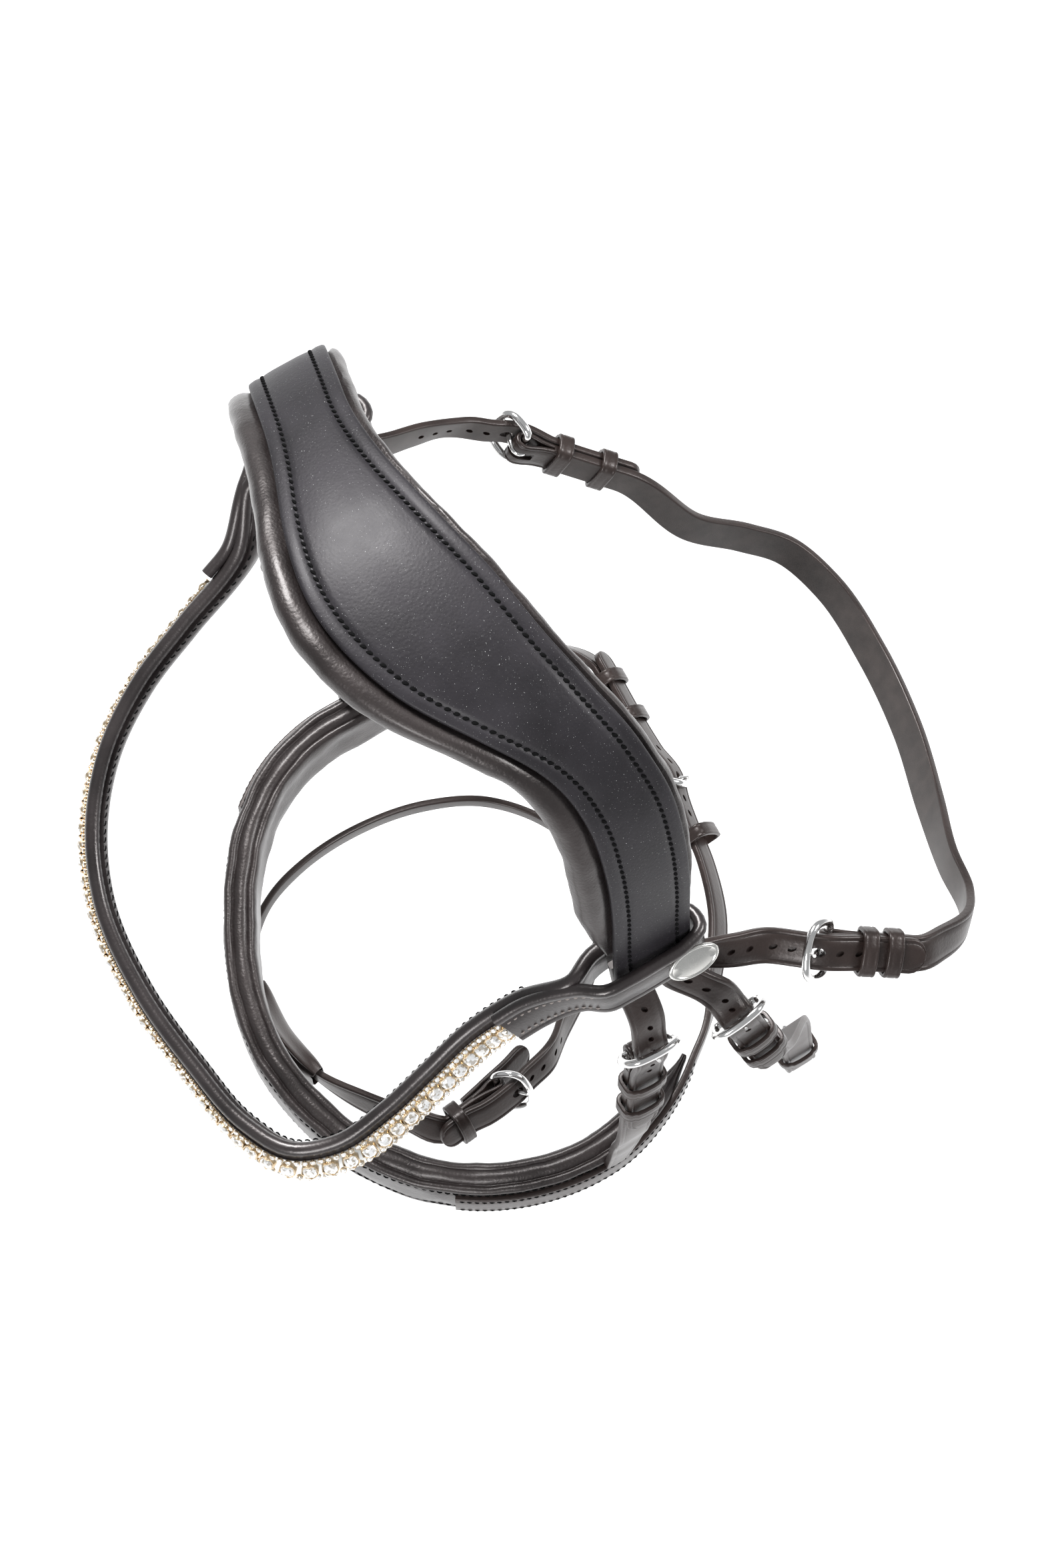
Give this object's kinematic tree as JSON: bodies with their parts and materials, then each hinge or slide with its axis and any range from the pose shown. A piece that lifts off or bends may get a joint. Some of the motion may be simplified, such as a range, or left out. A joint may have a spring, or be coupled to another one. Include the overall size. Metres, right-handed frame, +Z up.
{
  "type": "snaffle bridle",
  "caption": "English snaffle bridle: padded shaped crown, crystal browband, cheekpieces with bit folds, padded flash noseband and throatlash, all with buckles.",
  "frame": {"origin": "where the underside of the crown padding rests on the horse's poll, at the crown's middle", "axes": "+Z up, -Y towards the horse's nose side (browband), +Y towards the throat, +X the horse's left"},
  "size_m": [0.2993, 0.3441, 0.5018],
  "materials": {
    "leather": "waxed smooth black bridle leather with a soft sheen",
    "padding_leather": "soft matt black leather over padding",
    "metal": "polished stainless steel",
    "crystal": "clear cut stones in gold coloured settings"
  },
  "bodies": {
    "browband": {"badge_left": "metal", "badge_right": "metal", "browband": "leather", "crystal_strip": "crystal"},
    "noseband": {"chin_buckle": "metal", "chin_fixed_keeper": "leather", "chin_near_keeper": "leather", "hanger_left_billet": "leather", "hanger_left_buckle": "metal", "hanger_left_fixed_keeper": "leather", "hanger_left_strap": "leather", "hanger_right_billet": "leather", "hanger_right_buckle": "metal", "hanger_right_fixed_keeper": "leather", "hanger_right_strap": "leather", "nosepiece_loop": "leather", "nosepiece_padding": "padding_leather", "side_strap_left": "leather", "side_strap_right": "leather"},
    "cheekpiece_left": {"cheek_left_billet": "leather", "cheek_left_bit_keeper": "leather", "cheek_left_buckle": "metal", "cheek_left_fixed_keeper": "leather", "cheek_left_hook_stud": "metal", "cheek_left_strap": "leather"},
    "cheekpiece_right": {"cheek_right_billet": "leather", "cheek_right_bit_keeper": "leather", "cheek_right_buckle": "metal", "cheek_right_fixed_keeper": "leather", "cheek_right_hook_stud": "metal", "cheek_right_strap": "leather"},
    "throatlash": {"throat_left_billet": "leather", "throat_left_buckle": "metal", "throat_left_fixed_keeper": "leather", "throat_right_billet": "leather", "throat_right_buckle": "metal", "throat_right_fixed_keeper": "leather", "throatlash_strap": "leather"},
    "flash_strap": {"flash_buckle": "metal", "flash_guard_tab": "leather", "flash_keeper": "leather", "flash_strap": "leather"},
    "hanger_left_tongue": {"hanger_left_tongue": "metal"},
    "hanger_left_runner": {"hanger_left_runner": "leather"},
    "hanger_right_tongue": {"hanger_right_tongue": "metal"},
    "hanger_right_runner": {"hanger_right_runner": "leather"},
    "chin_tongue": {"chin_tongue": "metal"},
    "chin_runner": {"chin_runner": "leather"},
    "cheek_left_tongue": {"cheek_left_tongue": "metal"},
    "cheek_left_runner": {"cheek_left_runner": "leather"},
    "cheek_right_tongue": {"cheek_right_tongue": "metal"},
    "cheek_right_runner": {"cheek_right_runner": "leather"},
    "throat_left_tongue": {"throat_left_tongue": "metal"},
    "throat_left_runner": {"throat_left_runner": "leather"},
    "throat_right_tongue": {"throat_right_tongue": "metal"},
    "throat_right_runner": {"throat_right_runner": "leather"},
    "flash_tongue": {"flash_tongue": "metal"},
    "crown": {"crown_leather": "leather", "crown_padding": "padding_leather"}
  },
  "joints": [
    {"name": "browband", "type": "hinge", "parent": "crown", "child": "browband", "pos_m": [0, 0.026, -0.118], "axis": [1, 0, 0], "range_deg": [-4, 4]},
    {"name": "noseband", "type": "hinge", "parent": "crown", "child": "noseband", "pos_m": [0, 0.018, -0.122], "axis": [1, 0, 0], "range_deg": [-6, 6]},
    {"name": "cheekpiece_left", "type": "hinge", "parent": "crown", "child": "cheekpiece_left", "pos_m": [0.116, 0.033, -0.127], "axis": [0, -1, 0], "range_deg": [0, 20]},
    {"name": "cheekpiece_right", "type": "hinge", "parent": "crown", "child": "cheekpiece_right", "pos_m": [-0.125, 0.033, -0.127], "axis": [0, 1, 0], "range_deg": [0, 20]},
    {"name": "throatlash", "type": "hinge", "parent": "crown", "child": "throatlash", "pos_m": [0, 0.036, -0.122], "axis": [1, 0, 0], "range_deg": [0, 12]},
    {"name": "flash_strap", "type": "hinge", "parent": "noseband", "child": "flash_strap", "pos_m": [0, -0.085, -0.421], "axis": [1, 0, 0], "range_deg": [-3, 6]},
    {"name": "hanger_left_tongue", "type": "hinge", "parent": "noseband", "child": "hanger_left_tongue", "pos_m": [0.131, 0.015, -0.176], "axis": [0.0244, 0.9927, -0.1185], "range_deg": [0, 8]},
    {"name": "hanger_left_runner", "type": "slide", "parent": "noseband", "child": "hanger_left_runner", "axis": [-0.1714, 0.121, 0.9778], "range_m": [-0.0035, 0.0035]},
    {"name": "hanger_right_tongue", "type": "hinge", "parent": "noseband", "child": "hanger_right_tongue", "pos_m": [-0.126, 0.008, -0.178], "axis": [0, -0.9927, 0.1203], "range_deg": [0, 8]},
    {"name": "hanger_right_runner", "type": "slide", "parent": "noseband", "child": "hanger_right_runner", "axis": [-0.0601, 0.1201, 0.9909], "range_m": [-0.0035, 0.0035]},
    {"name": "chin_tongue", "type": "hinge", "parent": "noseband", "child": "chin_tongue", "pos_m": [-0.012, 0.12, -0.402], "axis": [-0.0249, -0.4971, 0.8674], "range_deg": [0, 8]},
    {"name": "chin_runner", "type": "slide", "parent": "noseband", "child": "chin_runner", "axis": [0.9988, -0.0499, 0], "range_m": [-0.0035, 0.0035]},
    {"name": "cheek_left_tongue", "type": "hinge", "parent": "cheekpiece_left", "child": "cheek_left_tongue", "pos_m": [0.139, 0.051, -0.171], "axis": [-0.0687, 0.9751, 0.2107], "range_deg": [0, 8]},
    {"name": "cheek_left_runner", "type": "slide", "parent": "cheekpiece_left", "child": "cheek_left_runner", "axis": [-0.2413, -0.2211, 0.9449], "range_m": [-0.0035, 0.0035]},
    {"name": "cheek_right_tongue", "type": "hinge", "parent": "cheekpiece_right", "child": "cheek_right_tongue", "pos_m": [-0.125, 0.043, -0.176], "axis": [0, -0.9869, -0.1611], "range_deg": [0, 8]},
    {"name": "cheek_right_runner", "type": "slide", "parent": "cheekpiece_right", "child": "cheek_right_runner", "axis": [0.0201, -0.1611, 0.9867], "range_m": [-0.0035, 0.0035]},
    {"name": "throat_left_tongue", "type": "hinge", "parent": "throatlash", "child": "throat_left_tongue", "pos_m": [0.137, 0.092, -0.161], "axis": [-0.6652, 0.538, 0.5178], "range_deg": [0, 8]},
    {"name": "throat_left_runner", "type": "slide", "parent": "throatlash", "child": "throat_left_runner", "axis": [-0.5032, -0.8353, 0.2214], "range_m": [-0.0035, 0.0035]},
    {"name": "throat_right_tongue", "type": "hinge", "parent": "throatlash", "child": "throat_right_tongue", "pos_m": [-0.1, 0.099, -0.171], "axis": [-0.0866, -0.4169, -0.9048], "range_deg": [0, 8]},
    {"name": "throat_right_runner", "type": "slide", "parent": "throatlash", "child": "throat_right_runner", "axis": [-0.6017, -0.702, 0.3811], "range_m": [-0.0035, 0.0035]},
    {"name": "flash_tongue", "type": "hinge", "parent": "flash_strap", "child": "flash_tongue", "pos_m": [0.068, -0.012, -0.438], "axis": [0.5652, 0.0154, -0.8248], "range_deg": [0, 8]}
  ]
}
